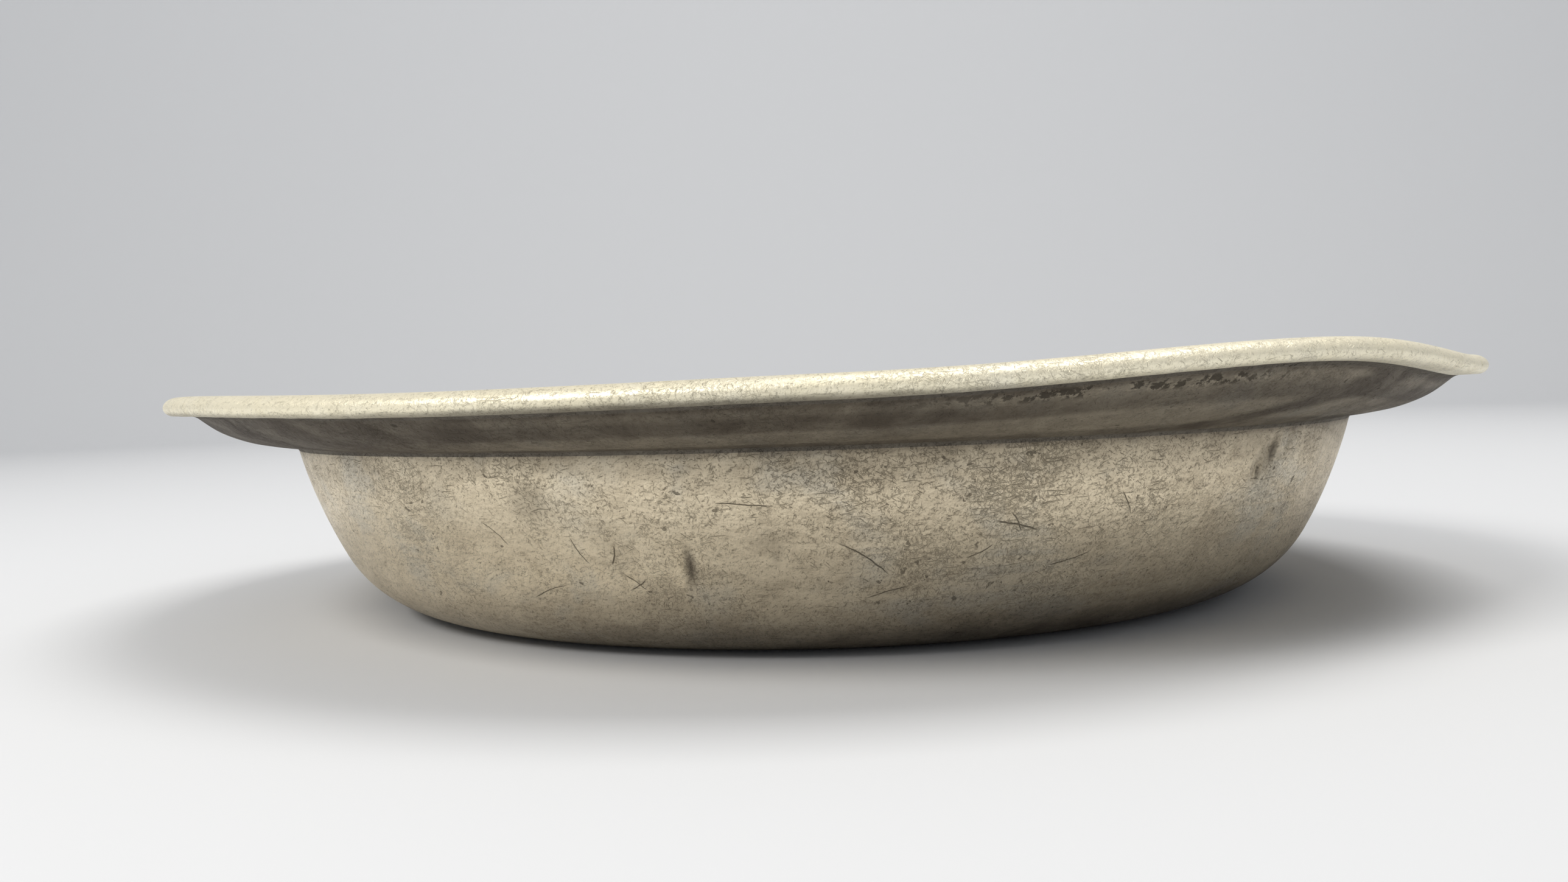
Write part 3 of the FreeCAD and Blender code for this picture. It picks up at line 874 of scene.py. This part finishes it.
long_scratches = [
    (unrolled(*start), unrolled(*stop), width * MM, bow * MM) for start, stop, width, bow in (
        ((1.5, 25.4), (6.4, 17.7), 0.16, 0.9), ((-16.8, 19.6), (-14.9, 16.0), 0.15, 0.3),
        ((-16.5, 16.2), (-14.7, 18.8), 0.15, -0.3), ((-17.0, 25.8), (-17.6, 20.8), 0.2, 0.2),
        ((14.5, 27.6), (19.0, 25.6), 0.2, 0.5), ((16.0, 29.4), (17.2, 25.0), 0.14, 0.3),
        ((12.5, 21.0), (15.0, 24.0), 0.14, -0.3), ((-30.0, 30.0), (-27.5, 24.5), 0.13, 0.6),
        ((-21.0, 27.0), (-19.6, 21.5), 0.13, -0.4), ((-8.0, 33.0), (-3.0, 32.2), 0.12, 0.1),
        ((4.0, 13.5), (8.2, 16.4), 0.14, 0.4), ((20.0, 19.0), (24.5, 21.5), 0.13, -0.5),
        ((26.0, 32.0), (27.5, 27.0), 0.13, 0.3), ((-27.0, 14.0), (-22.5, 17.0), 0.13, 0.5))]
wall_spots = [(-3.8, 22.4, 5.0, 0.3), (-24.0, 33.4, 4.5, 0.3), (43.5, 36.5, 7.0, 0.5),
              (-17.3, 23.3, 4.0, 0.22), (28.0, 37.0, 5.0, 0.2), (1.0, 39.0, 5.0, 0.25)]
soil_and_shade = (0.060, 0.046, 0.032, 1)
wall_tones = ((0.92, 0.80, 0.59, 1), (0.55, 0.462, 0.33, 1), (0.70, 0.66, 0.555, 1))
bowl.data.materials.append(pewter("pewter_bowl", wall_tones, soil_and_shade, 0.34, spots=wall_spots,
                                  scratches=long_scratches))
rim_tones = ((0.74, 0.66, 0.50, 1), (0.45, 0.385, 0.28, 1), (0.58, 0.55, 0.46, 1))
rim.data.materials.append(pewter("pewter_rim", rim_tones, soil_and_shade, 0.33, pitted=0.9,
                                 scratched=0.7, rings=0.6, flaked=156.4 * MM))
# The band's paler colours paint the strong light that falls on it.
band_tones = ((0.96, 0.895, 0.70, 1), (0.84, 0.77, 0.565, 1), (0.90, 0.855, 0.71, 1))
band.data.materials.append(pewter("pewter_band", band_tones, soil_and_shade, 0.40, shine=0.5, pitted=0.5,
                                  scratched=0.8, rings=0.2))
solder_tones = ((0.30, 0.27, 0.22, 1), (0.16, 0.14, 0.11, 1), (0.22, 0.20, 0.17, 1))
# Dark solder colours: another metal, and partly painted shade of the corners it sits in.
solder_soil_and_shade = (0.035, 0.028, 0.022, 1)
solder = pewter("solder", solder_tones, solder_soil_and_shade, 0.6, rings=0)
wall_solder.data.materials.append(solder)
edge_solder.data.materials.append(solder)

# %% [markdown]
# ## The floor
# Metal shows whatever is round it, so it looks best on a plain pale sheet of paper. The
# sheet runs out flat and then curves up all round, as it does in a studio, so no horizon
# shows. It is one round mesh, made from a profile like the dish.

# %% The paper
FLOOR_FLAT, FLOOR_CURVE, FLOOR_HEIGHT = 1.8, 1.0, 1.25


def sweep_sheet(flat, curve, height, turns=96):
    """Round sheet that is flat in the middle and curves up to a wall all round."""
    rings = [0.0001, 0.3, 0.6, flat * 0.7, flat]
    line = [(radius, 0.0) for radius in rings]
    for degrees in range(6, 91, 6):
        turn = math.radians(degrees)
        line.append((flat + curve * math.sin(turn), curve * (1 - math.cos(turn))))
    line.append((flat + curve, height))
    once = [2 * math.pi * step / turns for step in range(turns)]
    points = [(radius * math.sin(turn), radius * math.cos(turn), z)
              for radius, z in line for turn in once]
    faces = [(ring * turns + step, ring * turns + (step + 1) % turns,
              (ring + 1) * turns + (step + 1) % turns, (ring + 1) * turns + step)
             for ring in range(len(line) - 1) for step in range(turns)]
    faces.append(tuple(range(turns)))
    mesh = bpy.data.meshes.new("paper_sheet")
    mesh.from_pydata(points, [], faces)
    mesh.shade_smooth()
    return mesh


floor = bpy.data.objects.new("paper_sheet", sweep_sheet(FLOOR_FLAT, FLOOR_CURVE, FLOOR_HEIGHT))
bpy.context.collection.objects.link(floor)
paper = bpy.data.materials.new("white_paper")
paper.use_nodes = True
tree = paper.node_tree
tree.nodes.clear()
matt = node(tree, "ShaderNodeBsdfDiffuse", {"Color": (0.75, 0.765, 0.79, 1)})
tree.links.new(matt.outputs[0], node(tree, "ShaderNodeOutputMaterial").inputs[0])
floor.data.materials.append(paper)
print("the paper is flat to %.1f m from the dish" % FLOOR_FLAT)

# %% [markdown]
# ## The light
# Three soft lamps light the dish: one overhead, a stronger one in front on the left, and one
# that shines on the paper behind. They are soft because they are large, which gives wide
# highlights and a shadow with no hard edge. The room's own light is kept dim, because light
# that comes evenly from all round would make the metal look flat.

# %% The room and the lamps
world = bpy.data.worlds.new("room")
bpy.context.scene.world = world
world.use_nodes = True
tree = world.node_tree
tree.nodes.clear()
sky = node(tree, "ShaderNodeBackground", {"Color": (0.97, 0.98, 1.0, 1), "Strength": 0.36})
tree.links.new(sky.outputs[0], node(tree, "ShaderNodeOutputWorld").inputs[0])


def add_lamp(name, place, aim, size, power):
    """Square soft lamp of slightly warm light at a place, turned to face a point."""
    data = bpy.data.lights.new(name, "AREA")
    data.shape = "SQUARE"
    data.size = size
    data.energy = power
    data.color = (1.0, 0.97, 0.92)
    lamp = bpy.data.objects.new(name, data)
    bpy.context.collection.objects.link(lamp)
    lamp.location = place
    lamp.rotation_mode = "QUATERNION"
    lamp.rotation_quaternion = (Vector(aim) - Vector(place)).to_track_quat("-Z", "Y")
    print("%s: %.0f W at %.1f m" % (name, power, (Vector(aim) - Vector(place)).length))


add_lamp("overhead", (0.4, 0.0, 1.4), (0, 0, 0.04), 0.8, 10)
add_lamp("front_left", (-0.9, -1.0, 1.15), (0, 0, 0.03), 0.7, 18)
add_lamp("backdrop", (0, 0.9, 1.6), (0, 2.7, 0.5), 1.0, 12)

# %% [markdown]
# ## The camera
# The dish is seen from close by and from the height of its edge, with the camera held a
# little crooked. From so near, the far side of the dish hides behind the near side and the
# bowl bulges toward us. The lens and the distance belong together: from further off, a
# longer lens gives the same size but a flatter dish.

# %% Set up the camera
eye = Vector((0.0041, -0.3795, 0.0534))
yaw, pitch, tilt = (math.radians(degrees) for degrees in (2.09, 2.23, 1.89))
forward = Vector((-math.sin(yaw) * math.cos(pitch), math.cos(yaw) * math.cos(pitch),
                  -math.sin(pitch)))
level_right = forward.cross(Vector((0, 0, 1))).normalized()
level_up = level_right.cross(forward)
right = level_right * math.cos(tilt) - level_up * math.sin(tilt)
up = level_up * math.cos(tilt) + level_right * math.sin(tilt)
camera_data = bpy.data.cameras.new("camera")
camera_data.lens = 31.52
camera_data.sensor_width = 36
camera_data.clip_start = 0.01
camera = bpy.data.objects.new("camera", camera_data)
bpy.context.collection.objects.link(camera)
camera.matrix_world = Matrix.Translation(eye) @ Matrix((right, up, -forward)).transposed().to_4x4()
bpy.context.scene.camera = camera
bpy.context.scene.view_settings.view_transform = "Standard"
print("camera %.0f mm from the axis" % (-eye.y / MM))
